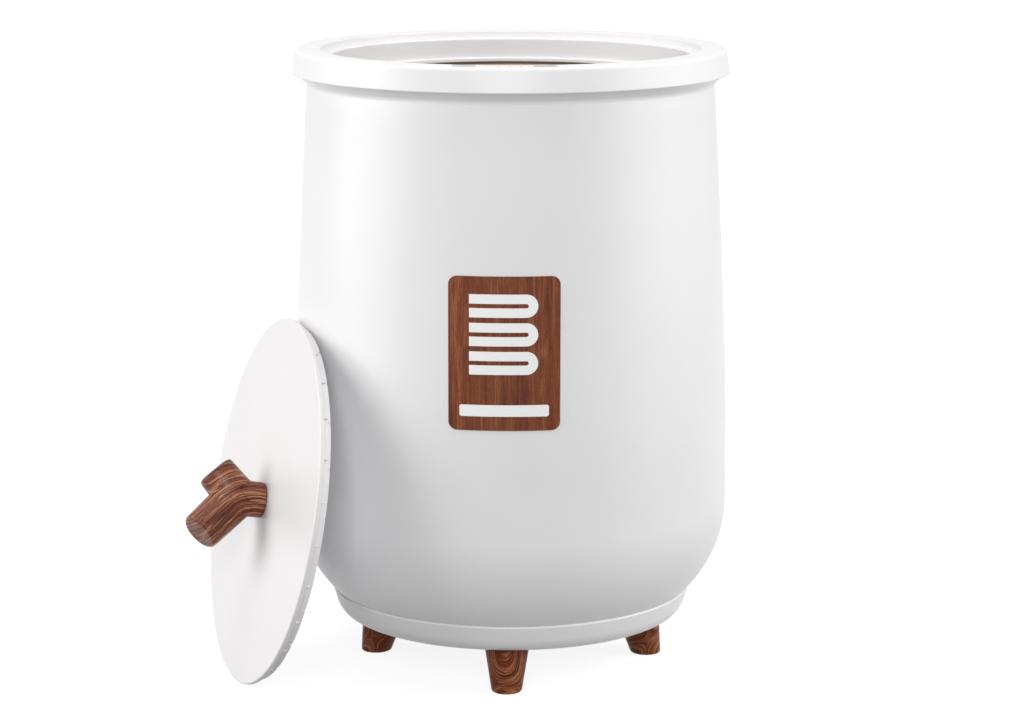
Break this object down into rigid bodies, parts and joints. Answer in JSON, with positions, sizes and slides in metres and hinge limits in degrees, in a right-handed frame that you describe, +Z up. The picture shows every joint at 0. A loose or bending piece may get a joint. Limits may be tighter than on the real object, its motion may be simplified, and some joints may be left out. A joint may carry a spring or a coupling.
{
  "type": "towel warmer bucket",
  "caption": "Barrel-shaped heated towel bucket on splayed wooden feet, with push buttons in its broad rim and a loose disc lid with a forked wooden handle leaning against it.",
  "frame": {"origin": "on the floor, midway between the feet, on the bucket's own axis", "axes": "+Z up along the bucket's axis, -Y towards the front with the badge and buttons, -X towards the leaning lid"},
  "size_m": [0.3947, 0.3544, 0.4594],
  "materials": {
    "white_plastic": "satin moulded white",
    "lid_plastic": "smooth moulded white",
    "inner_plastic": "fine matt white",
    "tub_metal": "champagne anodised, fine brushed",
    "walnut": "oiled walnut",
    "branch_wood": "lacquered red-brown branch wood",
    "badge_wood": "printed walnut grain",
    "badge_white": "printed white",
    "button_grey": "satin grey",
    "amber_lens": "translucent amber",
    "zinc_steel": "zinc plated",
    "brass": "turned",
    "silicone": "matt silicone",
    "felt": "needled felt",
    "black_plastic": "fine texture",
    "board_green": "solder mask",
    "parts_plastic": "moulded"
  },
  "bodies": {
    "bucket": {"outer_shell": "white_plastic", "base_ring": "white_plastic", "base_cover": "inner_plastic", "cover_screws": "zinc_steel", "ring_screws": "zinc_steel", "foot_front": "walnut", "foot_right": "walnut", "foot_back": "walnut", "foot_left": "walnut", "foot_bolts": "zinc_steel", "foot_washers": "zinc_steel", "foot_inserts": "brass", "top_rim": "white_plastic", "inner_collar": "inner_plastic", "seal_ring": "silicone", "inner_tub": "tub_metal", "tub_posts": "inner_plastic", "side_heater": "silicone", "base_heater": "silicone", "clamp_plate": "zinc_steel", "clamp_nut": "zinc_steel", "side_insulation": "felt", "base_insulation": "felt", "thermostat": "black_plastic", "thermal_fuse": "parts_plastic", "power_board": "board_green", "relay": "black_plastic", "transformer": "parts_plastic", "capacitor": "parts_plastic", "terminal_blocks": "board_green", "board_screws": "zinc_steel", "cord_gland": "black_plastic", "gland_nut": "black_plastic", "heater_lead": "silicone", "control_cable": "silicone", "control_board": "board_green", "control_screws": "zinc_steel", "power_switch": "black_plastic", "timer_switch": "black_plastic", "indicator_lights": "amber_lens", "status_marks": "button_grey", "badge_plate": "badge_wood", "badge_mark": "badge_white"},
    "power_key": {"power_button": "button_grey", "power_plunger": "parts_plastic"},
    "timer_key": {"timer_button": "button_grey", "timer_plunger": "parts_plastic"},
    "lid": {"lid_plate": "lid_plastic", "lid_skirt": "lid_plastic", "lid_foam": "felt", "lid_panel": "tub_metal", "lid_handle": "branch_wood", "lid_screw": "zinc_steel", "lid_washer": "zinc_steel", "lid_cap": "inner_plastic"}
  },
  "joints": [
    {"name": "power_press", "type": "slide", "parent": "bucket", "child": "power_key", "axis": [0, 0, -1], "range_m": [0, 0.001], "stiffness_N_per_m": 300},
    {"name": "timer_press", "type": "slide", "parent": "bucket", "child": "timer_key", "axis": [0, 0, -1], "range_m": [0, 0.001], "stiffness_N_per_m": 300},
    {"name": "lid_pull_away", "type": "slide", "parent": "bucket", "child": "lid", "axis": [-0.9201, -0.344, 0.1874], "range_m": [0, 0.3]}
  ]
}
